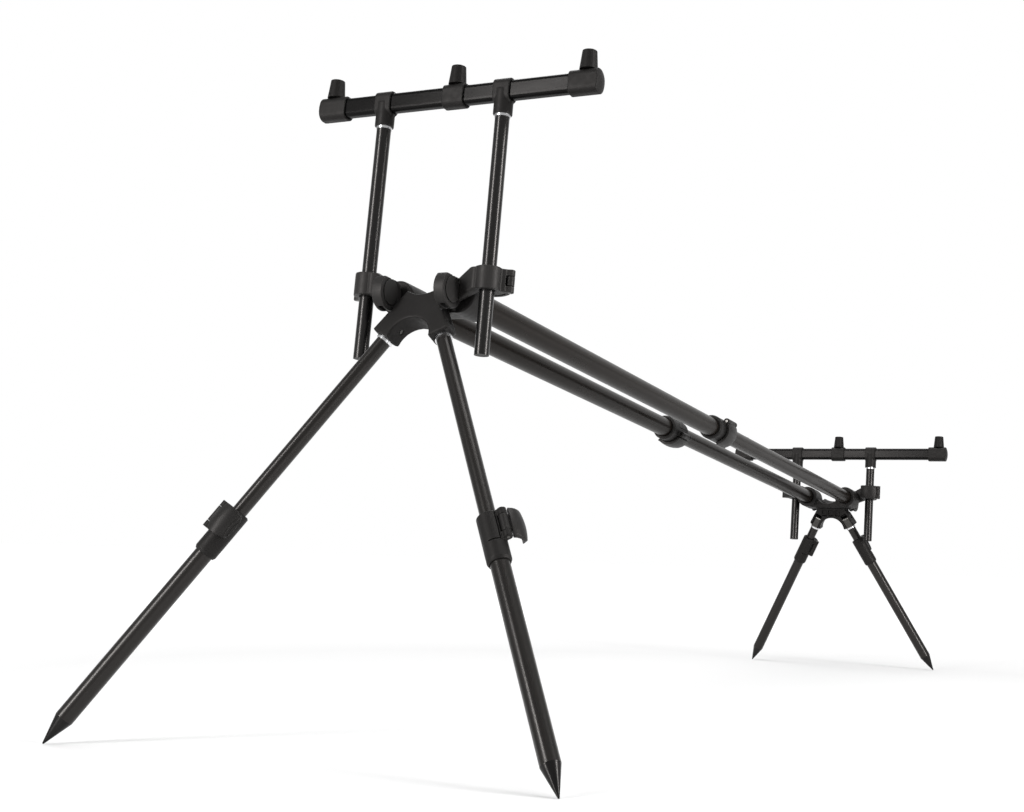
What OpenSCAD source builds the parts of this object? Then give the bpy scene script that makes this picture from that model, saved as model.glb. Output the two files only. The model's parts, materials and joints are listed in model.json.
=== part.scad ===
// Rod pod for three rods: two A-frame ends joined by two telescopic bars, a buzz bar over each end.
// Everything is drawn in the bar frame: bars along +Y, bar axes at z = 0, front uprights at y = 0.
// The whole is then pitched so that the four spikes stand on z = 0, under the middle of the pod.

/* [Main bars] */
// Distance between the front and rear upright planes
bar_length = 1563; // [1400:1:1700]
// Distance between the two bar axes
bar_spacing = 76; // [72:0.5:84]
// Outside diameter of the outer bar tubes
bar_outer_d = 28; // [26:0.5:29]
// Wall of the bar tubes
bar_wall = 1.5; // [1:0.1:2.5]
// Mouth of the outer tubes, from the front upright plane
bar_mouth = 800; // [740:1:840]
// Length of inner tube held inside the outer tube
bar_overlap = 160; // [120:1:220]

/* [Legs] */
// Sideways splay of the legs
leg_splay = 29.5; // [26:0.5:32]
// Forward rake of the legs about their hinge pins
leg_rake = 17.2; // [14:0.1:19]
// Outside diameter of the upper leg tubes
leg_d = 16; // [15:0.25:16.5]
// Wall of the upper leg tubes
leg_wall = 1.5; // [1:0.1:2]
// Wall of the lower leg tubes
lower_wall = 1.6; // [1.2:0.1:2]
// Bare upper tube on the front legs, beyond what shows when they are pushed right in
front_reach = 211; // [130:1:213]
// Bare upper tube on the rear legs, beyond what shows when they are pushed right in
rear_reach = 2; // [1:1:38]
// Length of the upper leg tubes
upper_length = 269; // [255:1:285]
// Lower leg from the top of its collar to the tip of its spike
lower_leg = 295; // [280:1:320]
// Length of the spike's cone
spike_cone = 31; // [24:1:36]
// Sideways place of the leg hinge pins, from the middle
leg_pin_x = 28; // [27:0.25:29]
// Place of the leg hinge pins in front of the upright plane
leg_pin_forward = 9.5; // [8.5:0.25:10.5]
// Depth of the leg hinge pins below the bars
leg_pin_drop = 37.5; // [36.5:0.25:38.5]
// Diameter of the leg hinge pins
leg_pin_d = 5; // [4:0.25:6]

/* [Hubs] */
// Depth of the hub in front of the leg axes
hub_front = 13.5; // [12.5:0.25:14.5]
// Depth of the hub behind the leg axes
hub_back = 11.5; // [10.5:0.25:12]
// Width of a leg arm at its foot
hub_arm_w = 24; // [22:0.5:26]
// Outside diameter of the bar sockets
socket_d = 39; // [37:0.5:40]
// Length of the bar sockets
socket_length = 43; // [36:1:50]

/* [Swing arms] */
// Pivot of the arms in front of the upright plane
pivot_forward = 18; // [17.5:0.25:18.5]
// Outside diameter of the arm knuckles
knuckle_d = 40; // [38:0.5:41]
// Thickness of the arm knuckles
knuckle_t = 12; // [11.5:0.5:13]
// Diameter of the flat pivot caps
pivot_cap_d = 28; // [26:0.5:29]
// Diameter of the pivot bolts
pivot_d = 8; // [6:0.5:9]
// Outside diameter of the upright clamps
clamp_d = 29; // [28:0.5:30]
// Height of the upright clamps
clamp_h = 25; // [24:0.5:27]
// Height of the clamps' lower face above the bar axes
clamp_rise = 1.5; // [0.5:0.25:2.5]

/* [Buzz bars] */
// Distance between the two uprights
upright_spacing = 150; // [149:0.5:156]
// Outside diameter of the uprights
upright_d = 16; // [15:0.25:16.5]
// Height of the front buzz bar above the bars
front_height = 224; // [180:1:260]
// Height of the rear buzz bar above the bars
rear_height = 92; // [88:1:130]
// Foot of the front uprights below the bars
front_drop = 68; // [50:1:80]
// Foot of the rear uprights below the bars
rear_drop = 80; // [60:1:81]
// Distance between neighbouring alarm sockets, front
front_pitch = 159; // [145:1:175]
// Distance between neighbouring alarm sockets, rear
rear_pitch = 200; // [180:1:220]
// Sideways offset of the middle alarm socket, front
front_offset = 15; // [0:1:20]
// Sideways offset of the middle alarm socket, rear
rear_offset = 9; // [0:1:20]
// Height of the buzz bar's section
buzz_h = 22; // [20:0.5:24]
// Depth of the buzz bar's section
buzz_t = 14; // [12:0.5:16]
// Diameter of the threaded alarm sockets
alarm_thread_d = 8.4; // [8:0.1:9]

/* [Fits] */
// Radial gap between tubes that slide in each other
slide_gap = 0.1; // [0.08:0.01:0.1]
// Radial gap between a pin and what turns on it
pin_gap = 0.06; // [0.03:0.01:0.1]
// Side gap between faces that turn past each other
face_gap = 0.3; // [0.2:0.05:0.4]

/* [Hidden] */
$fn = 64;
ENDS = ["front", "rear"];
SIDES = ["left", "right"];
LEG_PIECES = ["leg_top", "upper_leg", "lower_leg", "leg_collar", "leg_lever", "lever_pin", "spike"];
END_PIECES = ["hub", "leg_pins", "arm_pivots", "arm_lever_pins", "uprights", "upright_rings", "buzz_bar",
              "buzz_collars", "alarm_inserts"];
BAR_PIECES = ["outer_bars", "inner_bars", "bar_collars", "left_bar_lever", "right_bar_lever", "bar_lever_pins"];

// Colours
plastic = [0.09, 0.09, 0.09];
gloss = [0.05, 0.05, 0.05];
gunmetal = [0.27, 0.26, 0.25];
bright = [0.78, 0.78, 0.78];

// Tubes
eps = 0.01;
bar_r = bar_outer_d / 2;
bar_bore_r = bar_r - bar_wall;
inner_bar_r = bar_bore_r - slide_gap;
bar_x = bar_spacing / 2;
leg_r = leg_d / 2;
lower_bore_r = leg_r + slide_gap;
lower_r = lower_bore_r + lower_wall;
upright_r = upright_d / 2;
upright_wall = leg_wall;
upright_x = upright_spacing / 2;

// Leg top: a flat tenon on the hinge pin, a flange, and a plug in the upper tube
leg_pin_r = leg_pin_d / 2;
tenon_w = 12;
tenon_r = 6.5;
slot_w = tenon_w + 2 * face_gap;
hinge_clear_r = 16.2;
flange_top = hinge_clear_r + face_gap;
flange_t = 3;
flange_over = 1.4;
flange_r = leg_r + flange_over;
flange_foot = flange_top + flange_t;
plug_length = 22;
slot_rise = 11.5;

// Cam clamps: two lugs and a lever on a pin beside the tube
lever_pin_r = 2;
barrel_r = 4.6;
lug_half = 4;
lug_h = 7;
lug_sink = 2;
pad_t = 4;
pad_bulge = 1.6;
lug_gap = 0.8;
pad_to = 116;
arm_pad_to = 84;
lip_turn = 4;
lip_over = 1.5;
lip_rise = 0.9;
neck_inset = 0.4;
neck_turn = 6;
slit_w = 1;
slit_turn = -28;
slit_sweep = 60;
hinge_offset = 2.6;
collar_gap = 0.6;

// Leg collar
leg_collar_wall = 2.6;
leg_collar_r = lower_r + leg_collar_wall;
leg_collar_h = 55;
leg_grip_h = 24;
leg_hinge_h = 33;
leg_lever_turn = [[-145, -2], [10, 66]];
leg_lever_open = [[0, 62], [0, 100]];

// Bar collar
bar_collar_wall = 4.5;
bar_collar_r = bar_r + bar_collar_wall;
bar_collar_h = 58;
bar_grip_h = 26;
bar_hinge_h = 36;
bar_lever_turn = [20, -35];

// Spike
spike_tip_r = 1;
spike_plug = 16;

// Least bare upper tube: pushed right in, the upper tube all but meets the spike's plug
spike_gap = 1;
collar_stop = 1;
least_reach = max(collar_stop, upper_length + spike_gap - (lower_leg - spike_cone - spike_plug));

// Hub outline, in the plane of the two leg axes
leg_up = [cos(leg_rake) * sin(leg_splay), sin(leg_rake), cos(leg_rake) * cos(leg_splay)];
plane_tilt = atan(leg_up.y / leg_up.z);
leg_half_angle = atan(leg_up.x / norm([leg_up.y, leg_up.z]));
apex_rise = leg_pin_x / leg_up.x;
apex_y = apex_rise * leg_up.y - leg_pin_forward;
apex_z = apex_rise * leg_up.z - leg_pin_drop;
arm_foot = leg_pin_x / sin(leg_half_angle) + hinge_clear_r;
saddle_depth = 18.5;
saddle_r = 30;
horn_x = 17.5;
web_h = 29.5;
arch_r = 24.5;
pocket_depth = 5;
pocket_w = 10;
pocket_gap = 3;
pocket_h = 12;
pocket_rise = 4;
bridge_top = -2;
bridge_h = 17;
bridge_length = 30;
bridge_saddle_r = 26;
bridge_dip = 10;
leg_pin_grip = 3.2;

// Swing arm
socket_r = socket_d / 2;
socket_front = 4;
tube_seat = 4;
pivot_y = -pivot_forward;
pivot_r = pivot_d / 2;
knuckle_r = knuckle_d / 2;
tongue_t = 5;
tongue_r = 14;
tongue_neck = 9;
fork_gap = tongue_t + 2 * face_gap;
cap_r = pivot_cap_d / 2;
cap_t = 1.6;
cap_seat = 1;
cap_groove = 1;
clamp_r = clamp_d / 2;
ear_rise = 15;
neck_back = 1.2;
neck_depth = 6;
neck_fall = 8;
neck_r = 7;
arm_lever_stand = 6.5;
arm_pad_r = clamp_r + arm_lever_stand;
jaw_half = 5;
jaw_inset = 0.6;
jaw_sink = 2.5;
jaw_from = 14;
jaw_short = 4;
arm_lever_turn = 32;

// Buzz bar
heights = [front_height, rear_height];
drops = [front_drop, rear_drop];
pitches = [front_pitch, rear_pitch];
offsets = [front_offset, rear_offset];
buzz_round = 5;
sleeve_t = 2.6;
end_sleeve = 33;
end_beyond = 14;
end_wall = 4;
mid_sleeve = 26;
tee_sleeve = 20;
tee_wall = 2.6;
tee_r = upright_r + tee_wall;
tee_socket = 16;
ring_h = 3;
ring_wall = 0.8;
ring_r = upright_r + ring_wall;
insert_base_r = 10;
insert_top_r = 8;
insert_h = 21;
alarm_depth = 16;
foot_plug = 10;

// Stance: the pitch that puts all four spike tips on the floor
reaches = [least_reach + front_reach, least_reach + rear_reach];
ways = [-1, 1];
function end_y(e) = e * bar_length;
function leg_dir(e, s) = [ways[s] * leg_up.x, ways[e] * leg_up.y, -leg_up.z];
function leg_pin_at(e, s) = [ways[s] * leg_pin_x, end_y(e) + ways[e] * leg_pin_forward, -leg_pin_drop];
function collar_top(e) = flange_foot + reaches[e];
function tip_depth(e) = collar_top(e) + lower_leg - spike_tip_r;
function tip_at(e) = leg_pin_at(e, 1) + tip_depth(e) * leg_dir(e, 1);
function shoulder_at(e) = leg_pin_at(e, 1) + (tip_depth(e) + spike_tip_r - spike_cone) * leg_dir(e, 1);
tip_run = tip_at(1) - tip_at(0);
pitch = atan(tip_run.z / tip_run.y);
function floor_y(p) = p.y * cos(pitch) + p.z * sin(pitch);
function floor_z(p) = p.z * cos(pitch) - p.y * sin(pitch);
function rim_reach(e) = lower_r * sqrt(1 - pow(floor_y(leg_dir(e, 1)), 2));
front_edge = min(floor_y(tip_at(0)) - spike_tip_r, floor_y(shoulder_at(0)) - rim_reach(0));
rear_edge = max(floor_y(tip_at(1)) + spike_tip_r, floor_y(shoulder_at(1)) + rim_reach(1));
stand_y = -(front_edge + rear_edge) / 2;
stand_z = spike_tip_r - floor_z(tip_at(0));

// Places a child drawn in the bar frame on the floor
module stand() {
    translate([0, stand_y, stand_z])
        rotate([-pitch, 0, 0])
            children();
}

// Places a child drawn at the front end at either end; the rear one is its mirror image
module at_end(e) {
    translate([0, end_y(e), 0])
        mirror([0, e, 0])
            children();
}

// Places a child drawn on the right at either side
module at_side(s) {
    mirror([1 - s, 0, 0])
        children();
}

// Leg frame: origin on the hinge pin, X along the pin, Z up the leg
module at_leg(e, s) {
    translate(leg_pin_at(e, s))
        rotate([0, -ways[s] * leg_splay, 0])
            rotate([ways[e] * leg_rake, 0, 0])
                children();
}

// Leg frame moved to the top of the collar
module at_collar(e, s) {
    at_leg(e, s)
        translate([0, 0, -collar_top(e)])
            rotate([0, 0, leg_lever_turn[e][s]])
                children();
}

// Bar collar frame: Z along the bar towards the rear, origin at the collar's rear face
module at_bar_collar(s) {
    translate([ways[s] * bar_x, bar_mouth + bar_grip_h, 0])
        rotate([-90, 0, 0])
            rotate([0, 0, bar_lever_turn[s]])
                children();
}

// Cylinder along X, centred on the origin
module rod_x(r, length) {
    rotate([0, 90, 0])
        cylinder(r = r, h = length, center = true);
}

// Cylinder along Y from the origin
module rod_y(r, length) {
    rotate([-90, 0, 0])
        cylinder(r = r, h = length);
}

// Tube along Z from the origin
module tube(r, bore_r, length) {
    difference() {
        cylinder(r = r, h = length);
        translate([0, 0, -1])
            cylinder(r = bore_r, h = length + 2);
    }
}

// Sector of a ring about Z, from one angle to another
module ring_sector(r_in, r_out, low, height, from, to) {
    translate([0, 0, low])
        rotate([0, 0, from])
            rotate_extrude(angle = to - from)
                translate([r_in, 0])
                    square([r_out - r_in, height]);
}

// Two lugs beside a clamp of radius clamp_outer, from z = 0 down, bored for the lever pin
module clamp_lugs(clamp_outer, hinge_r, hinge_h) {
    for (low = [-lug_h, -hinge_h])
        translate([0, 0, low])
            difference() {
                union() {
                    translate([hinge_r, 0, 0])
                        cylinder(r = barrel_r, h = lug_h);
                    translate([clamp_outer - lug_sink, -lug_half, 0])
                        cube([hinge_r - clamp_outer + lug_sink, 2 * lug_half, lug_h]);
                }
                translate([hinge_r, 0, -1])
                    cylinder(r = lever_pin_r, h = lug_h + 2);
            }
}

// Slit that lets the clamp close: up the wall, then part of the way round
module clamp_slit(clamp_outer, hinge_h) {
    inside = clamp_outer / 3;
    rotate([0, 0, slit_turn])
        translate([inside, -slit_w / 2, -hinge_h - slit_w / 2])
            cube([clamp_outer, slit_w, hinge_h + slit_w + 1]);
    ring_sector(inside, clamp_outer + 1, -hinge_h - slit_w, slit_w, slit_turn - slit_sweep, slit_turn);
}

// Cam lever: a barrel between the lugs and a bulged pad that wraps the clamp
module cam_lever(pad_r, hinge_h, pad_end, open_turn) {
    hinge_r = pad_r + hinge_offset;
    pad_from = asin((barrel_r + lug_gap) / hinge_r);
    barrel_low = -hinge_h + lug_h + face_gap;
    barrel_h = hinge_h - 2 * lug_h - 2 * face_gap;
    bulge_r = (hinge_h * hinge_h / 4 + pad_bulge * pad_bulge) / (2 * pad_bulge);
    translate([hinge_r, 0, 0])
        rotate([0, 0, -open_turn])
            translate([-hinge_r, 0, 0])
                difference() {
                    union() {
                        translate([hinge_r, 0, barrel_low])
                            cylinder(r = barrel_r, h = barrel_h);
                        ring_sector(pad_r + neck_inset, pad_r + pad_t - neck_inset, barrel_low + neck_inset,
                                    barrel_h - 2 * neck_inset, neck_turn, pad_from + 1);
                        rotate([0, 0, pad_from])
                            rotate_extrude(angle = pad_end - pad_from)
                                intersection() {
                                    translate([pad_r, -hinge_h])
                                        square([pad_t + pad_bulge, hinge_h]);
                                    translate([pad_r + pad_t + pad_bulge - bulge_r, -hinge_h / 2])
                                        circle(r = bulge_r, $fn = 128);
                                }
                        ring_sector(pad_r + neck_inset, pad_r + pad_t + lip_rise, neck_inset - hinge_h,
                                    hinge_h - 2 * neck_inset, pad_end - lip_turn, pad_end + lip_over);
                    }
                    translate([hinge_r, 0, -hinge_h])
                        cylinder(r = lever_pin_r + pin_gap, h = hinge_h);
                }
}

// Lever pin, its ends flush with the lugs
module cam_pin(pad_r, hinge_h) {
    translate([pad_r + hinge_offset, 0, -hinge_h])
        cylinder(r = lever_pin_r, h = hinge_h);
}

// Moulded collar that holds the wider tube and clamps the narrower one that slides in it
module clamp_collar(outer_r, wide_r, narrow_r, height, grip_h, hinge_h) {
    pad_r = outer_r + collar_gap;
    chamfer = 1.5;
    difference() {
        union() {
            rotate_extrude()
                polygon([
                    [0, 0], [outer_r - chamfer, 0], [outer_r, -chamfer],
                    [outer_r, -height + 2 * chamfer], [outer_r - chamfer, -height], [0, -height]
                ]);
            clamp_lugs(outer_r, pad_r + hinge_offset, hinge_h);
        }
        translate([0, 0, -grip_h - 1])
            cylinder(r = narrow_r + slide_gap, h = grip_h + 2);
        translate([0, 0, -height - 1])
            cylinder(r = wide_r, h = height - grip_h + 1);
        clamp_slit(outer_r, hinge_h);
        translate([pad_r + hinge_offset, 0, -hinge_h + lug_h])
            cylinder(r = barrel_r + face_gap, h = hinge_h - 2 * lug_h);
    }
}

// Hub

module hub_outline() {
    foot = arm_foot * [sin(leg_half_angle), -cos(leg_half_angle)];
    half = hub_arm_w / 2 * [cos(leg_half_angle), sin(leg_half_angle)];
    horn_y = saddle_r - saddle_depth - sqrt(saddle_r * saddle_r - horn_x * horn_x);
    arch_top = -saddle_depth - web_h;
    right = [[horn_x, horn_y], foot + half, foot - half];
    left = [for (i = [2, 1, 0]) [-right[i].x, right[i].y]];
    difference() {
        polygon(concat(right, [[0, arch_top - arch_r / 2]], left));
        translate([0, arch_top - arch_r])
            circle(r = arch_r);
        translate([0, saddle_r - saddle_depth])
            circle(r = saddle_r);
    }
}

// Leg plane: X across, Y up between the legs, Z out of the hub's front face
module in_leg_plane() {
    translate([0, apex_y, apex_z])
        rotate([90 - plane_tilt, 0, 0])
            children();
}

module hub_pockets() {
    in_leg_plane()
        for (i = [-1, 0, 1])
            translate([i * (pocket_w + pocket_gap) - pocket_w / 2, -saddle_depth - web_h + pocket_rise, -hub_back - 1])
                cube([pocket_w, pocket_h, pocket_depth + 1]);
}

// Web between the bar sockets, its top hollowed like the saddle in front
module hub_bridge() {
    difference() {
        translate([-bar_x, 0, -bridge_h])
            cube([bar_spacing, bridge_length, bridge_h]);
        translate([0, -1, bridge_saddle_r - bridge_dip])
            rod_y(bridge_saddle_r, bridge_length + 2);
    }
}

// Room for a leg's tenon, open at the foot and behind, and for its flange as it folds back
module leg_slot() {
    room = 40;
    rod_x(tenon_r + face_gap, slot_w);
    translate([-slot_w / 2, -tenon_r - face_gap, -room])
        cube([slot_w, room, room]);
    translate([-slot_w / 2, 0, -room])
        cube([slot_w, room, room + slot_rise]);
    difference() {
        translate([-room / 2, 0, -room])
            cube([room, room, room]);
        rod_x(hinge_clear_r, 2 * room);
    }
    rod_x(leg_pin_r, room);
}

module hub(e) {
    bore_r = e == 0 ? bar_r : inner_bar_r;
    color(plastic) stand() at_end(e) {
        difference() {
            union() {
                in_leg_plane()
                    translate([0, 0, -hub_back])
                        linear_extrude(hub_front + hub_back)
                            hub_outline();
                translate([0, socket_front, bridge_top])
                    hub_bridge();
                for (s = [0, 1])
                    translate([ways[s] * bar_x, socket_front, 0])
                        rod_y(socket_r, socket_length);
            }
            for (s = [0, 1]) {
                at_leg(0, s)
                    leg_slot();
                translate([ways[s] * bar_x, socket_front + tube_seat, 0])
                    rod_y(bore_r, socket_length);
                translate([ways[s] * bar_x, pivot_y, 0])
                    rod_x(knuckle_r + 2 * face_gap, knuckle_t + 2 * cap_t);
            }
            hub_pockets();
        }
        for (s = [0, 1])
            translate([ways[s] * bar_x, pivot_y, 0])
                difference() {
                    union() {
                        rod_x(tongue_r, tongue_t);
                        translate([-tongue_t / 2, 0, -tongue_neck])
                            cube([tongue_t, pivot_forward + socket_front + tube_seat / 2, 2 * tongue_neck]);
                    }
                    rod_x(pivot_r + pin_gap, tongue_t + 2);
                }
    }
}

module leg_pins(e) {
    color(bright) stand()
        for (s = [0, 1])
            at_leg(e, s)
                rod_x(leg_pin_r, slot_w + 2 * leg_pin_grip);
}

// Swing arms

module arm_clamp_frame() {
    translate([upright_x, 0, clamp_rise + clamp_h])
        rotate([0, 0, arm_lever_turn])
            children();
}

// Room in the knuckle for the hub's tongue as the arm folds forward
module fork_room() {
    reach = knuckle_r + 2;
    rod_x(tongue_r + face_gap, fork_gap);
    translate([-fork_gap / 2, 0, -reach])
        cube([fork_gap, reach, reach + tongue_neck + face_gap]);
    translate([-fork_gap / 2, -tongue_neck - face_gap, -reach])
        cube([fork_gap, reach, reach]);
}

// Round knuckle with a flat top
module arm_ear() {
    difference() {
        rod_x(knuckle_r, knuckle_t);
        translate([-knuckle_t, -knuckle_r - 1, ear_rise])
            cube([2 * knuckle_t, knuckle_d + 2, knuckle_r]);
    }
}

// Solid jaw between the clamp and its lever
module arm_jaw() {
    web = arm_pad_r + hinge_offset - barrel_r - 2 * face_gap - clamp_r + jaw_sink;
    translate([clamp_r - jaw_sink, -jaw_half, jaw_inset - clamp_h])
        cube([web, 2 * jaw_half, clamp_h - 2 * jaw_inset]);
    ring_sector(clamp_r - jaw_sink, arm_pad_r - collar_gap, jaw_inset - clamp_h, clamp_h - 2 * jaw_inset,
                jaw_from, arm_pad_to - jaw_short);
}

module arm(e, s) {
    color(plastic) stand() at_end(e) at_side(s) difference() {
        union() {
            translate([bar_x, pivot_y, 0])
                arm_ear();
            hull() {
                translate([bar_x + fork_gap / 2 + face_gap, neck_back - neck_depth, -neck_fall])
                    cube([knuckle_t / 2 - fork_gap / 2 - face_gap, neck_depth, neck_fall + ear_rise]);
                translate([upright_x - clamp_r + neck_r / 2, neck_back - neck_r, clamp_rise + 1])
                    cylinder(r = neck_r, h = clamp_h - 2, $fn = 32);
            }
            translate([upright_x, 0, clamp_rise])
                cylinder(r = clamp_r, h = clamp_h);
            arm_clamp_frame() {
                clamp_lugs(clamp_r, arm_pad_r + hinge_offset, clamp_h);
                arm_jaw();
            }
        }
        translate([bar_x, pivot_y, 0]) {
            fork_room();
            rod_x(pivot_r, knuckle_t + 2);
            for (w = ways)
                translate([w * knuckle_t / 2, 0, 0])
                    rod_x(cap_r + cap_groove, 2 * cap_seat);
        }
        translate([upright_x, 0, 0])
            cylinder(r = upright_r + slide_gap, h = clamp_rise + clamp_h + 1);
        arm_clamp_frame()
            rotate([0, 0, slit_turn])
                translate([0, -slit_w / 2, -clamp_h - 1])
                    cube([clamp_r + 1, slit_w, clamp_h + 2]);
    }
}

// Headed bolt and screwed-on cap, two a frame
module arm_pivots(e) {
    face = knuckle_t / 2 - cap_seat;
    color(plastic) stand() at_end(e)
        for (s = [0, 1])
            at_side(s) translate([bar_x, pivot_y, 0]) {
                translate([face + cap_t / 2, 0, 0])
                    rod_x(cap_r, cap_t);
                rod_x(pivot_r, 2 * face);
                translate([-face - cap_t / 2, 0, 0])
                    rod_x(cap_r, cap_t);
            }
}

module arm_lever(e, s) {
    color(plastic) stand() at_end(e) at_side(s)
        arm_clamp_frame()
            cam_lever(arm_pad_r, clamp_h, arm_pad_to, 0);
}

module arm_lever_pins(e) {
    color(bright) stand() at_end(e)
        for (s = [0, 1])
            at_side(s)
                arm_clamp_frame()
                    cam_pin(arm_pad_r, clamp_h);
}

// Legs

module leg_top(e, s) {
    color(bright) stand() at_leg(e, s) difference() {
        union() {
            rod_x(tenon_r, tenon_w);
            translate([-tenon_w / 2, -tenon_r, -flange_top - eps])
                cube([tenon_w, 2 * tenon_r, flange_top]);
            translate([0, 0, -flange_foot])
                cylinder(r = flange_r, h = flange_t);
            translate([0, 0, -flange_foot - plug_length])
                cylinder(r = leg_r - leg_wall, h = plug_length + eps);
        }
        rod_x(leg_pin_r + pin_gap, tenon_w + 2);
    }
}

module upper_leg(e, s) {
    color(gloss) stand() at_leg(e, s)
        translate([0, 0, -flange_foot - upper_length])
            tube(leg_r, leg_r - leg_wall, upper_length);
}

module lower_leg_tube(e, s) {
    length = lower_leg - leg_grip_h - spike_cone;
    color(gloss) stand() at_collar(e, s)
        translate([0, 0, -leg_grip_h - length])
            tube(lower_r, lower_bore_r, length);
}

module leg_collar(e, s) {
    color(plastic) stand() at_collar(e, s)
        clamp_collar(leg_collar_r, lower_r, leg_r, leg_collar_h, leg_grip_h, leg_hinge_h);
}

module leg_lever(e, s) {
    color(plastic) stand() at_collar(e, s)
        cam_lever(leg_collar_r + collar_gap, leg_hinge_h, pad_to, leg_lever_open[e][s]);
}

module lever_pin(e, s) {
    color(bright) stand() at_collar(e, s)
        cam_pin(leg_collar_r + collar_gap, leg_hinge_h);
}

module spike(e, s) {
    cone_h = spike_cone - spike_tip_r;
    slope = atan((lower_r - spike_tip_r) / cone_h);
    color(gloss) stand() at_collar(e, s)
        translate([0, 0, spike_tip_r - lower_leg]) {
            rotate_extrude()
                polygon([
                    [0, 0], [spike_tip_r * cos(slope), -spike_tip_r * sin(slope)], [lower_r, cone_h],
                    [lower_bore_r, cone_h], [lower_bore_r, cone_h + spike_plug], [0, cone_h + spike_plug]
                ]);
            sphere(r = spike_tip_r);
        }
}

// Main bars

module outer_bars() {
    start = socket_front + tube_seat;
    color(gunmetal) stand()
        for (w = ways)
            translate([w * bar_x, start, 0])
                rotate([-90, 0, 0])
                    tube(bar_r, bar_bore_r, bar_mouth - start);
}

module inner_bars() {
    start = bar_mouth - bar_overlap;
    color(gunmetal) stand()
        for (w = ways)
            translate([w * bar_x, start, 0])
                rotate([-90, 0, 0])
                    tube(inner_bar_r, inner_bar_r - bar_wall, bar_length - socket_front - tube_seat - start);
}

module bar_collars() {
    color(plastic) stand()
        for (s = [0, 1])
            at_bar_collar(s)
                clamp_collar(bar_collar_r, bar_r, inner_bar_r, bar_collar_h, bar_grip_h, bar_hinge_h);
}

module bar_lever(s) {
    color(plastic) stand() at_bar_collar(s)
        cam_lever(bar_collar_r + collar_gap, bar_hinge_h, pad_to, 0);
}

module bar_lever_pins() {
    color(bright) stand()
        for (s = [0, 1])
            at_bar_collar(s)
                cam_pin(bar_collar_r + collar_gap, bar_hinge_h);
}

// Buzz bars

// Section of the bar, grown all round, in the plane across it
module buzz_section(grow) {
    r = buzz_round + grow;
    half_h = buzz_h / 2 - buzz_round;
    half_t = buzz_t / 2 - buzz_round;
    square([2 * half_h, 2 * (half_t + r)], center = true);
    square([2 * (half_h + r), 2 * half_t], center = true);
    for (u = ways, v = ways)
        translate([u * half_h, v * half_t])
            circle(r = r);
}

// Length of section along X, centred
module buzz_length(grow, length) {
    rotate([0, 90, 0])
        linear_extrude(length, center = true)
            buzz_section(grow);
}

function buzz_half(e) = pitches[e] + end_beyond - end_wall;

module buzz_bar(e) {
    color(gunmetal) stand() at_end(e)
        translate([offsets[e], 0, heights[e]])
            buzz_length(0, 2 * buzz_half(e));
}

module buzz_sleeve(length) {
    difference() {
        buzz_length(sleeve_t, length);
        buzz_length(0, length + 2);
    }
}

module buzz_end_cap() {
    difference() {
        translate([end_beyond - end_sleeve / 2, 0, 0])
            buzz_length(sleeve_t, end_sleeve);
        translate([end_beyond - end_wall - end_sleeve, 0, 0])
            buzz_length(0, 2 * end_sleeve);
    }
}

// Sleeve over the bar with a socket for the top of an upright
module tee_collar() {
    difference() {
        union() {
            buzz_length(sleeve_t, tee_sleeve);
            translate([0, 0, -buzz_h / 2 - tee_socket])
                cylinder(r = tee_r, h = tee_socket + buzz_h / 2);
        }
        buzz_length(0, 2 * tee_sleeve);
        translate([0, 0, -buzz_h / 2 - tee_socket - 1])
            cylinder(r = upright_r, h = tee_socket + 1);
    }
}

module buzz_collars(e) {
    color(plastic) stand() at_end(e)
        translate([0, 0, heights[e]]) {
            for (w = ways)
                translate([w * upright_x, 0, 0])
                    tee_collar();
            translate([offsets[e], 0, 0]) {
                buzz_sleeve(mid_sleeve);
                for (s = [0, 1])
                    at_side(s)
                        translate([pitches[e], 0, 0])
                            buzz_end_cap();
            }
        }
}

module alarm_inserts(e) {
    base = buzz_h / 2 + sleeve_t;
    color(plastic) stand() at_end(e)
        for (i = [-1, 0, 1])
            translate([offsets[e] + i * pitches[e], 0, heights[e] + base])
                difference() {
                    cylinder(r1 = insert_base_r, r2 = insert_top_r, h = insert_h);
                    translate([0, 0, insert_h - alarm_depth])
                        cylinder(r = alarm_thread_d / 2, h = alarm_depth + 1);
                }
}

module uprights(e) {
    length = heights[e] - buzz_h / 2 + drops[e];
    color(gloss) stand() at_end(e)
        for (w = ways)
            translate([w * upright_x, 0, -drops[e]]) {
                tube(upright_r, upright_r - upright_wall, length);
                cylinder(r = upright_r - upright_wall, h = foot_plug);
            }
}

module upright_rings(e) {
    color(bright) stand() at_end(e)
        for (w = ways)
            translate([w * upright_x, 0, heights[e] - buzz_h / 2 - tee_socket - ring_h])
                tube(ring_r, upright_r, ring_h);
}

for (e = [0, 1]) {
    hub(e);
    leg_pins(e);
    arm_pivots(e);
    arm_lever_pins(e);
    uprights(e);
    upright_rings(e);
    buzz_bar(e);
    buzz_collars(e);
    alarm_inserts(e);
    for (s = [0, 1]) {
        corner = str(ENDS[e], "_", SIDES[s], "_");
        arm(e, s);
        arm_lever(e, s);
        leg_top(e, s);
        upper_leg(e, s);
        lower_leg_tube(e, s);
        leg_collar(e, s);
        leg_lever(e, s);
        lever_pin(e, s);
        spike(e, s);
    }
}
outer_bars();
inner_bars();
bar_collars();
bar_lever(0);  // left_bar_lever
bar_lever(1);  // right_bar_lever
bar_lever_pins();
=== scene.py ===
"""Looks of the rod pod: finishes, softened mouldings, lights and the camera, around the fixed frame."""
import json
import math

import bpy
from mathutils import Matrix, Vector


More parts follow.
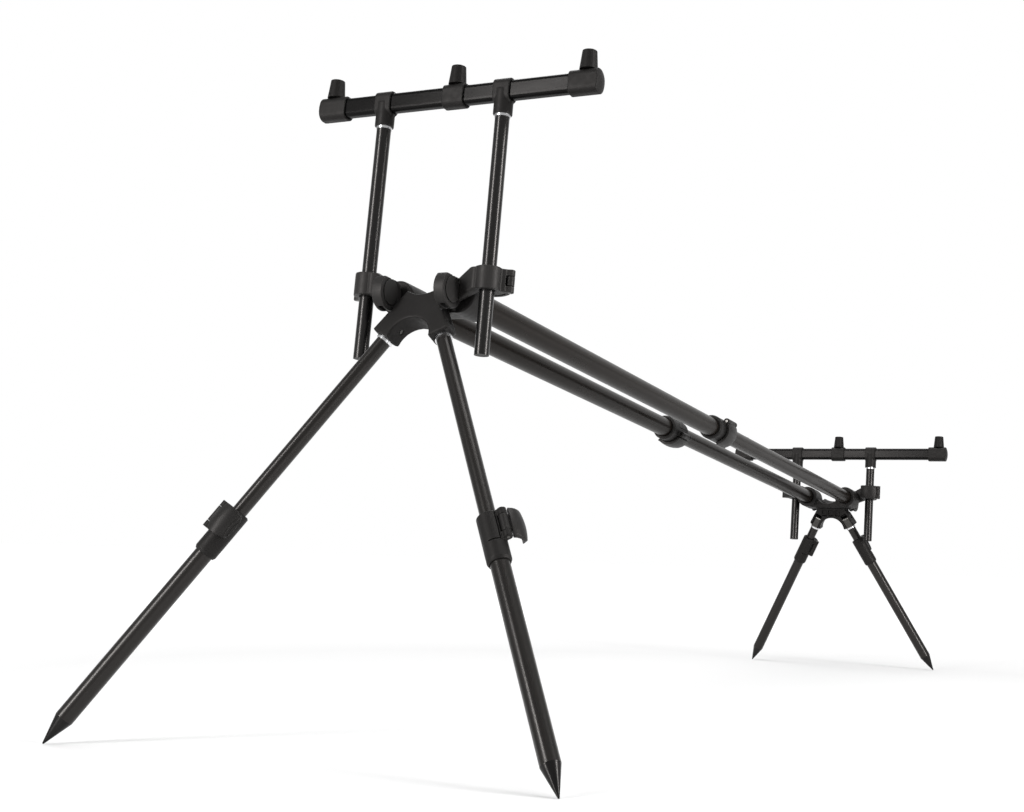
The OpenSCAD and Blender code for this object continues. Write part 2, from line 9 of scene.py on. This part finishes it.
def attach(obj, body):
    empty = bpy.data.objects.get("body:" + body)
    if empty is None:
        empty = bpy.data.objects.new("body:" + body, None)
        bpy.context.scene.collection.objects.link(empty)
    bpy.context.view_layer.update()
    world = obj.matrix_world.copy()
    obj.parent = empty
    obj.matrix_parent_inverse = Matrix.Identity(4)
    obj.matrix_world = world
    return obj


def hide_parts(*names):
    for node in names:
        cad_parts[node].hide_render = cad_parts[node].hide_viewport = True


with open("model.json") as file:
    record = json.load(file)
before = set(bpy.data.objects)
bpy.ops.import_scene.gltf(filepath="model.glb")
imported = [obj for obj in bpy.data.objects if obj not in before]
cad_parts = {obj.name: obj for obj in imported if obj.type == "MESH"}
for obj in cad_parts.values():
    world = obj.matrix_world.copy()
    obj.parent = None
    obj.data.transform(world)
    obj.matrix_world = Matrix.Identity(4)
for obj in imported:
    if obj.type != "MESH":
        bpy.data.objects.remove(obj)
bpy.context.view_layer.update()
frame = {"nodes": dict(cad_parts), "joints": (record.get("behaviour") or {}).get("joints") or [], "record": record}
NODES = frame["nodes"]
JOINTS = {joint["name"]: joint for joint in frame["joints"]}
ENDS = ("front", "rear")
SIDES = ("left", "right")
CORNERS = [end + "_" + side for end in ENDS for side in SIDES]
BODY_OF = {n: body for body, names in frame["record"]["behaviour"]["bodies"].items() for n in names}
SLOT_OF = {row["node"]: row["material_slot"] for row in frame["record"]["subparts"]}
MM = 0.001

# Bar frame: Y along the bars to the rear, Z square to them, origin midway between the front uprights
BAR_Y = Vector(JOINTS["bar_slide"]["axis"]).normalized()
BAR_Z = Vector(JOINTS["front_buzz_height"]["axis"]).normalized()
BAR_X = BAR_Y.cross(BAR_Z)
LEG_PIN_FORWARD, LEG_PIN_DROP = 9.5 * MM, 37.5 * MM
LEG_PINS = [Vector(JOINTS["front_" + side + "_leg_fold"]["pos_m"]) for side in SIDES]
BAR_ORIGIN = (LEG_PINS[0] + LEG_PINS[1]) / 2 + LEG_PIN_FORWARD * BAR_Y + LEG_PIN_DROP * BAR_Z
BAR_AXES = Matrix((BAR_X, BAR_Y, BAR_Z)).transposed()

# Camera, fitted to the photograph in the bar frame
PHOTO_W, PHOTO_H = 1024, 812
SENSOR = 36.0
FOCAL_PX = 1517.8
CENTRE_PX = (608.1, 408.4)
CAMERA_AT = Vector((853.47, -1345.99, -399.45)) * MM
CAMERA_AZ, CAMERA_EL, CAMERA_ROLL = (math.radians(a) for a in (25.034, -10.428, 4.116))
CLIP_NEAR, CLIP_FAR = 0.05, 50


def in_bar_frame(point):
    """A point or direction of the bar frame, turned into the part's axes."""
    return BAR_AXES @ Vector(point)


def add_camera():
    """The camera at the photograph's place, with its picture centre off the middle."""
    data = bpy.data.cameras.new("camera")
    data.sensor_width = SENSOR
    data.lens = FOCAL_PX / PHOTO_W * SENSOR
    data.shift_x = (PHOTO_W / 2 - CENTRE_PX[0]) / PHOTO_W
    data.shift_y = (CENTRE_PX[1] - PHOTO_H / 2) / PHOTO_W
    data.clip_start, data.clip_end = CLIP_NEAR, CLIP_FAR
    back = Vector((math.sin(CAMERA_AZ) * math.cos(CAMERA_EL),
                   -math.cos(CAMERA_AZ) * math.cos(CAMERA_EL),
                   math.sin(CAMERA_EL)))
    right = (-back).cross(Vector((0, 0, 1))).normalized()
    up = right.cross(-back)
    c, s = math.cos(CAMERA_ROLL), math.sin(CAMERA_ROLL)
    axes = [in_bar_frame(v) for v in (c * right + s * up, c * up - s * right, back)]
    camera = bpy.data.objects.new("camera", data)
    camera.matrix_world = Matrix.LocRotScale(
        BAR_ORIGIN + in_bar_frame(CAMERA_AT), Matrix(axes).transposed().to_quaternion(), None)
    bpy.context.scene.collection.objects.link(camera)
    bpy.context.scene.camera = camera


# Materials: textures in features a metre, and how far each is drawn out along a tube

WHITE = (1, 1, 1)
WARM = (1.0, 0.95, 0.92)
BROWN = (1.0, 0.88, 0.82)
NOISE_SPREAD = (0.3, 0.7)
NOISE_DETAIL, FINE_DETAIL = 3.0, 2
PLASTIC_CLOUDS, PLASTIC_SHEEN, PLASTIC_GRAIN = 45, 160, 1900
PLASTIC_GRAIN_DEEP = 0.12 * MM
TUBE_LINES, TUBE_SHEEN, TUBE_RIPPLE = 300, 60, 220
DRAWN_LINES, DRAWN_SHEEN, DRAWN_RIPPLE = (1, 1, 0.01), (1, 1, 0.2), (1, 1, 0.05)
TUBE_RIPPLE_DEEP = 0.05 * MM
METAL_CLOUDS, METAL_SHEEN, METAL_MARKS = 700, 900, 1600
METAL_ROUGH = (0.16, 0.3)
METAL_MARKS_STRENGTH, METAL_MARKS_DEEP = 0.05, 0.05 * MM


def new_material(name, base, rough, metallic=0.0, specular=0.5, tint=WHITE):
    """A Principled material; returns the material, its node tree and the shader."""
    material = bpy.data.materials.new(name)
    material.use_nodes = True
    tree = material.node_tree
    shader = tree.nodes["Principled BSDF"]
    shader.inputs["Base Color"].default_value = (*base, 1)
    shader.inputs["Roughness"].default_value = rough
    shader.inputs["Metallic"].default_value = metallic
    shader.inputs["Specular IOR Level"].default_value = specular
    shader.inputs["Specular Tint"].default_value = (*tint, 1)
    return material, tree, shader


def noise(tree, scale, stretch=(1, 1, 1), detail=NOISE_DETAIL, axes=None):
    """Noise over object coordinates, in features per metre, stretched along the given axes."""
    coords = tree.nodes.new("ShaderNodeTexCoord")
    mapping = tree.nodes.new("ShaderNodeMapping")
    mapping.inputs["Scale"].default_value = [scale * s for s in stretch]
    if axes is not None:
        mapping.vector_type = "TEXTURE"
        mapping.inputs["Rotation"].default_value = axes.to_euler()
        mapping.inputs["Scale"].default_value = [1 / (scale * s) for s in stretch]
    texture = tree.nodes.new("ShaderNodeTexNoise")
    texture.inputs["Scale"].default_value = 1.0
    texture.inputs["Detail"].default_value = detail
    tree.links.new(coords.outputs["Object"], mapping.inputs["Vector"])
    tree.links.new(mapping.outputs["Vector"], texture.inputs["Vector"])
    return texture.outputs["Fac"]


def map_range(tree, value, source, target):
    """A node that maps one range of values onto another."""
    node = tree.nodes.new("ShaderNodeMapRange")
    node.inputs["From Min"].default_value, node.inputs["From Max"].default_value = source
    node.inputs["To Min"].default_value, node.inputs["To Max"].default_value = target
    tree.links.new(value, node.inputs["Value"])
    return node


def vary(tree, factor, low, high, socket):
    """Leads a shader socket between two numbers or two colours by a texture."""
    if not isinstance(low, tuple):
        level = map_range(tree, factor, NOISE_SPREAD, (low, high))
        tree.links.new(level.outputs["Result"], socket)
        return
    ramp = tree.nodes.new("ShaderNodeValToRGB")
    for stop, place, colour in zip(ramp.color_ramp.elements, NOISE_SPREAD, (low, high)):
        stop.position = place
        stop.color = (*colour, 1)
    tree.links.new(factor, ramp.inputs["Fac"])
    tree.links.new(ramp.outputs["Color"], socket)


def bump(tree, shader, height, strength, distance):
    """Fine relief of a surface."""
    node = tree.nodes.new("ShaderNodeBump")
    node.inputs["Strength"].default_value = strength
    node.inputs["Distance"].default_value = distance
    tree.links.new(height, node.inputs["Height"])
    tree.links.new(node.outputs["Normal"], shader.inputs["Normal"])


def moulded_plastic(name, dark, light, rough, specular, grain):
    """Black moulded plastic with a fine spark-eroded grain."""
    material, tree, shader = new_material(name, dark, rough[0], specular=specular, tint=WARM)
    vary(tree, noise(tree, PLASTIC_CLOUDS), dark, light, shader.inputs["Base Color"])
    vary(tree, noise(tree, PLASTIC_SHEEN), *rough, shader.inputs["Roughness"])
    bump(tree, shader, noise(tree, PLASTIC_GRAIN, detail=FINE_DETAIL), grain, PLASTIC_GRAIN_DEEP)
    return material


def tube_finish(name, dark, light, rough, axes, specular, grain=0.05, tint=WARM):
    """Drawn tube: faint die lines along its length under the finish."""
    material, tree, shader = new_material(name, dark, rough[0], specular=specular, tint=tint)
    vary(tree, noise(tree, TUBE_LINES, DRAWN_LINES, axes=axes), dark, light, shader.inputs["Base Color"])
    vary(tree, noise(tree, TUBE_SHEEN, DRAWN_SHEEN, axes=axes), *rough, shader.inputs["Roughness"])
    bump(tree, shader, noise(tree, TUBE_RIPPLE, DRAWN_RIPPLE, axes=axes), grain, TUBE_RIPPLE_DEEP)
    return material


def turned_metal(name, dark, light):
    """Turned metal with fine tool marks."""
    material, tree, shader = new_material(name, light, METAL_ROUGH[0], metallic=1.0)
    vary(tree, noise(tree, METAL_CLOUDS), dark, light, shader.inputs["Base Color"])
    vary(tree, noise(tree, METAL_SHEEN), *METAL_ROUGH, shader.inputs["Roughness"])
    bump(tree, shader, noise(tree, METAL_MARKS), METAL_MARKS_STRENGTH, METAL_MARKS_DEEP)
    return material


def leg_axes(corner):
    """Axes with Z along a leg."""
    along = -Vector(JOINTS[corner + "_leg_slide"]["axis"]).normalized()
    across = Vector(JOINTS[corner + "_leg_fold"]["axis"]).normalized()
    return Matrix((across, along.cross(across), along)).transposed()


ALONG_BARS = BAR_AXES @ Matrix(((1, 0, 0), (0, 0, 1), (0, -1, 0)))
ALONG_BUZZ = BAR_AXES @ Matrix(((0, 0, 1), (0, 1, 0), (-1, 0, 0)))
MOULDED = moulded_plastic("moulded_black", (0.0075, 0.0071, 0.0069), (0.0105, 0.01, 0.0097),
                          (0.44, 0.56), specular=0.18, grain=0.35)
LEVER = moulded_plastic("lever_black", (0.011, 0.0105, 0.0102), (0.014, 0.0134, 0.013),
                        (0.38, 0.46), specular=0.2, grain=0.25)
# A lighter copy of the black moulding for the arms and their pivot discs: painted light on their lit faces
ARM_PAINTED_LIGHT = moulded_plastic("arm_black", (0.016, 0.0153, 0.0149), (0.021, 0.02, 0.0195),
                      (0.42, 0.52), specular=0.2, grain=0.25)
INSERT = moulded_plastic("insert_black", (0.0055, 0.0052, 0.005), (0.008, 0.0076, 0.0073),
                         (0.44, 0.56), specular=0.16, grain=0.3)
BRIGHT = turned_metal("bright_metal", (0.66, 0.66, 0.67), (0.86, 0.86, 0.87))
# Dark steel for the pins, also put on the leg tops' tenons as painted shade
PIN_STEEL_AND_TENON_SHADE = turned_metal("pin_steel_and_tenon_shade", (0.05, 0.048, 0.045), (0.09, 0.087, 0.082))
SPIKE = tube_finish("spike_black", (0.003, 0.003, 0.0031), (0.005, 0.005, 0.0051),
                    (0.2, 0.28), BAR_AXES, specular=0.25)
BAR_TUBE = tube_finish("bar_gunmetal", (0.0075, 0.006, 0.005), (0.011, 0.0088, 0.0074),
                       (0.26, 0.32), ALONG_BARS, specular=0.085, tint=BROWN)
BUZZ_TUBE = tube_finish("buzz_black", (0.003, 0.003, 0.0031), (0.0045, 0.0045, 0.0046),
                        (0.2, 0.26), ALONG_BUZZ, specular=0.08, grain=0.015)
UPRIGHT_TUBE = tube_finish("upright_black", (0.003, 0.003, 0.0031), (0.005, 0.005, 0.0051),
                           (0.24, 0.28), BAR_AXES, specular=0.42, grain=0.006)
LEG_TUBES = {corner: tube_finish("leg_black_" + corner, (0.004, 0.0036, 0.0032), (0.007, 0.0062, 0.0055),
                                 (0.26, 0.31), leg_axes(corner), specular=0.4, grain=0.006)
             for corner in CORNERS}
FINISH_OF_SLOT = {"moulded": MOULDED, "lever": LEVER, "insert": INSERT, "gloss_tube": UPRIGHT_TUBE,
                  "satin_tube": BUZZ_TUBE, "bar_tube": BAR_TUBE, "bright_metal": BRIGHT, "spike": SPIKE}

# How squarely a face looks along an upright to be its end; how far from its pin a leg top's tenon gets painted
# shade
END_FACE = 0.7
TENON_SHADE_LENGTH = 17 * MM


def node_finish(node):
    """The finish of a node, by its slot in the record; leg tubes take their own direction."""
    slot = SLOT_OF[node]
    if "pin" in node and slot == "bright_metal":
        return PIN_STEEL_AND_TENON_SHADE
    # Arms and their pivot discs take the lighter moulding, which is painted light
    if node.endswith(("_arm", "_arm_pivots")):
        return ARM_PAINTED_LIGHT
    if slot == "gloss_tube" and "leg" in node:
        return LEG_TUBES[node.split("_upper")[0].split("_lower")[0]]
    return FINISH_OF_SLOT[slot]


def second_finish(node, material, wanted):
    """Gives another finish to the faces of a CAD node that are wanted; also used to paint shade on some faces."""
    node.data.materials.append(material)
    for face in node.data.polygons:
        if wanted(face):
            face.material_index = 1


def shade_smooth(mesh):
    mesh.polygons.foreach_set("use_smooth", [True] * len(mesh.polygons))


def dress_nodes():
    """Gives every CAD node its finish, and paints shade in dark steel on the leg tops' tenons."""
    for name, node in NODES.items():
        node.data.materials.clear()
        node.data.materials.append(node_finish(name))
        shade_smooth(node.data)
    for end in ENDS:
        second_finish(NODES[end + "_uprights"], INSERT, lambda face: abs(face.normal.dot(BAR_Z)) > END_FACE)
    for corner in CORNERS:
        along = leg_axes(corner).col[2]
        pin = Vector(JOINTS[corner + "_leg_fold"]["pos_m"])
        # The tenon is one bright metal piece with its flange; dark steel on it is painted shade of the hub's slot
        second_finish(NODES[corner + "_leg_top"], PIN_STEEL_AND_TENON_SHADE,
                      lambda face: abs((face.center - pin).dot(along)) < TENON_SHADE_LENGTH)


# Mouldings: each stands for its node, with the round corners of a real moulding

# Size of the remesh and smoothing rounds of each kind of piece
SOFTNESS = {
    "hub": (0.6 * MM, 45),
    "buzz_collars": (0.5 * MM, 10),
    "alarm_inserts": (0.35 * MM, 3),
    "arm_pivots": (0.4 * MM, 3),
    "arm": (0.5 * MM, 9),
    "arm_lever": (0.4 * MM, 5),
    "leg_collar": (0.35 * MM, 4),
    "leg_lever": (0.35 * MM, 5),
    "bar_collars": (0.5 * MM, 4),
    "bar_lever": (0.4 * MM, 5),
}
SMOOTH_STEP = 0.5
KEPT_FACES, KEPT_LEVER_FACES = 0.3, 0.4

# Leg levers: how far the pad's corners draw in, and where the pad starts, as shares of the lever's reach
LEVER_ROUND = 0.55
LEVER_ROUND_POWER = 4
LEVER_ROOT = 0.45
GROOVES = (0.78, 0.9)
GROOVE_HALF, GROOVE_DEEP = 0.025, 0.5 * MM
LEVER_SIDE = 0.5

# Buzz bar end sleeves: height of the dome, and depth of the skin that is raised
CAP_BULGE = 3 * MM
CAP_SKIN = 1.5 * MM


def apply_modifiers(piece):
    """Replaces a piece's mesh by one with its modifiers applied."""
    depsgraph = bpy.context.evaluated_depsgraph_get()
    mesh = bpy.data.meshes.new_from_object(piece.evaluated_get(depsgraph))
    mesh.name = piece.data.name
    piece.modifiers.clear()
    piece.data = mesh


def lever_places(mesh, joint):
    """The hinge axis and, for each vertex, its reach from the pin and its place along the pin.
    The reach goes from 0 at the pad's root to 1 at its free edge."""
    pin, axis = Vector(joint["pos_m"]), Vector(joint["axis"]).normalized()
    along = [(v.co - pin).dot(axis) for v in mesh.vertices]
    out = [(v.co - pin - a * axis).length for v, a in zip(mesh.vertices, along)]
    far = max(out)
    root = LEVER_ROOT * far
    return axis, [max(0.0, (d - root) / (far - root)) for d in out], along


def round_lever(mesh, joint):
    """Draws in both ends of a lever's pad towards its free edge, so that its corners are round."""
    axis, out, along = lever_places(mesh, joint)
    pad = [a for a, t in zip(along, out) if t > 0]
    middle = (min(pad) + max(pad)) / 2
    for vertex, t, a in zip(mesh.vertices, out, along):
        vertex.co -= LEVER_ROUND * t ** LEVER_ROUND_POWER * (a - middle) * axis


def groove_lever(mesh, joint):
    """Two fine lines along a lever's free edge."""
    axis, out, _ = lever_places(mesh, joint)
    normals = [v.normal.copy() for v in mesh.vertices]
    for vertex, t, normal in zip(mesh.vertices, out, normals):
        if any(abs(t - g) < GROOVE_HALF for g in GROOVES) and abs(normal.dot(axis)) < LEVER_SIDE:
            vertex.co -= GROOVE_DEEP * normal


def bulge_caps(mesh):
    """Domes the outer faces of a buzz bar's end sleeves."""
    places = [v.co.dot(BAR_X) for v in mesh.vertices]
    for sign in (-1, 1):
        end = max(sign * p for p in places)
        skin = [v for v, p in zip(mesh.vertices, places) if sign * p > end - CAP_SKIN]
        centre = sum((v.co for v in skin), Vector()) / len(skin)
        reach = max((v.co - centre).length for v in skin)
        for vertex in skin:
            level = max(0.0, 1 - ((vertex.co - centre).length / reach) ** 2)
            vertex.co += sign * CAP_BULGE * level * BAR_X


def soften(node, kind, shape=None, detail=None, keep=KEPT_FACES):
    """Stands for a node with the round corners of a moulding: a fine remesh, smoothing, fewer faces.
    shape works on the mesh before the smoothing and detail after it."""
    voxel, rounds = SOFTNESS[kind]
    piece = bpy.data.objects.new(node + "_moulding", NODES[node].data.copy())
    bpy.context.scene.collection.objects.link(piece)
    remesh = piece.modifiers.new("fine", "REMESH")
    remesh.mode = "VOXEL"
    remesh.voxel_size = voxel
    if shape:
        apply_modifiers(piece)
        shape(piece.data)
    smooth = piece.modifiers.new("round", "SMOOTH")
    smooth.factor = SMOOTH_STEP
    smooth.iterations = rounds
    if detail:
        apply_modifiers(piece)
        detail(piece.data)
    fewer = piece.modifiers.new("fewer", "DECIMATE")
    fewer.ratio = keep
    apply_modifiers(piece)
    shade_smooth(piece.data)
    piece.data.materials.clear()
    piece.data.materials.append(node_finish(node))
    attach(piece, BODY_OF[node])
    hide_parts(node)


def soften_all():
    """Softens every moulded piece."""
    for end in ENDS:
        soften(end + "_hub", "hub")
        soften(end + "_buzz_collars", "buzz_collars", bulge_caps)
        soften(end + "_alarm_inserts", "alarm_inserts")
        soften(end + "_arm_pivots", "arm_pivots")
    for corner in CORNERS:
        soften(corner + "_arm", "arm")
        soften(corner + "_arm_lever", "arm_lever")
        soften(corner + "_leg_collar", "leg_collar")
        hinge = JOINTS[corner + "_leg_lever_swing"]
        soften(corner + "_leg_lever", "leg_lever", lambda mesh: round_lever(mesh, hinge),
               lambda mesh: groove_lever(mesh, hinge), KEPT_LEVER_FACES)
    soften("bar_collars", "bar_collars")
    for side in SIDES:
        soften(side + "_bar_lever", "bar_lever")


# Stage and light, in metres and watts

FLOOR_HALF = 30.0
FLOOR_GREY = 0.6
FLOOR_ROUGH = 0.9
GLOW_REACH = (1.0, 3.0)
FLOOR_GLOW = (0.24, 0.8)
ROOM_LIGHT, BACKDROP_LIGHT = 0.45, 1.0
BACKDROP_EDGE = (0.55, 0.84)

# Name, place, the point that it looks at, size and power of each lamp
STRIP = (0.45, 2.4)
LAMPS = (
    ("left_strip", (-1.15, -3.1, 1.0), (0, -0.5, 0.5), STRIP, 70),
    ("right_strip", (2.6, -0.5, 1.0), (0, -0.4, 0.5), STRIP, 70),
    ("top_soft", (-0.2, 0.2, 2.6), (0, 0, 0.4), (1.2, 3.0), 45),
)


def camera_white(tree):
    """1 for rays that show the background: from the camera, or by gloss or glass."""
    path = tree.nodes.new("ShaderNodeLightPath")
    total = path.outputs["Is Camera Ray"]
    for name in ("Is Glossy Ray", "Is Transmission Ray"):
        both = tree.nodes.new("ShaderNodeMath")
        both.operation = "MAXIMUM"
        tree.links.new(total, both.inputs[0])
        tree.links.new(path.outputs[name], both.inputs[1])
        total = both.outputs["Value"]
    return total


def floor_finish():
    """A pale floor that glows more with the distance from the pod, where the lamps reach less."""
    material, tree, shader = new_material("floor_white", (FLOOR_GREY,) * 3, FLOOR_ROUGH, specular=0.0)
    place = tree.nodes.new("ShaderNodeNewGeometry")
    away = tree.nodes.new("ShaderNodeVectorMath")
    away.operation = "LENGTH"
    tree.links.new(place.outputs["Position"], away.inputs[0])
    level = map_range(tree, away.outputs["Value"], GLOW_REACH, FLOOR_GLOW)
    glow = tree.nodes.new("ShaderNodeMath")
    glow.operation = "MULTIPLY"
    tree.links.new(camera_white(tree), glow.inputs[0])
    tree.links.new(level.outputs["Result"], glow.inputs[1])
    shader.inputs["Emission Color"].default_value = (*WHITE, 1)
    tree.links.new(glow.outputs["Value"], shader.inputs["Emission Strength"])
    return material


def add_floor():
    mesh = bpy.data.meshes.new("floor")
    corners = [(x * FLOOR_HALF, y * FLOOR_HALF, 0) for x, y in ((-1, -1), (1, -1), (1, 1), (-1, 1))]
    mesh.from_pydata(corners, [], [(0, 1, 2, 3)])
    floor = bpy.data.objects.new("floor", mesh)
    bpy.context.scene.collection.objects.link(floor)
    mesh.materials.append(floor_finish())


def add_world():
    """A studio: a white backdrop beyond the pod, fading into a dimmer room on the side of the camera."""
    world = bpy.data.worlds.new("studio")
    world.use_nodes = True
    bpy.context.scene.world = world
    tree = world.node_tree
    shader = tree.nodes["Background"]
    shader.inputs["Color"].default_value = (*WHITE, 1)
    coords = tree.nodes.new("ShaderNodeTexCoord")
    along = tree.nodes.new("ShaderNodeVectorMath")
    along.operation = "DOT_PRODUCT"
    along.inputs[1].default_value = (-math.sin(CAMERA_AZ), math.cos(CAMERA_AZ), 0)
    tree.links.new(coords.outputs["Generated"], along.inputs[0])
    level = map_range(tree, along.outputs["Value"], BACKDROP_EDGE, (ROOM_LIGHT, BACKDROP_LIGHT))
    level.interpolation_type = "SMOOTHSTEP"
    tree.links.new(level.outputs["Result"], shader.inputs["Strength"])


def add_lamp(name, at, look_at, size, power):
    data = bpy.data.lights.new(name, "AREA")
    data.shape = "RECTANGLE"
    data.size, data.size_y = size
    data.energy = power
    lamp = bpy.data.objects.new(name, data)
    lamp.location = at
    lamp.rotation_euler = (Vector(look_at) - Vector(at)).to_track_quat("-Z", "Y").to_euler()
    bpy.context.scene.collection.objects.link(lamp)


add_camera()
dress_nodes()
soften_all()
add_floor()
add_world()
for row in LAMPS:
    add_lamp(*row)
bpy.context.scene.view_settings.view_transform = "Standard"
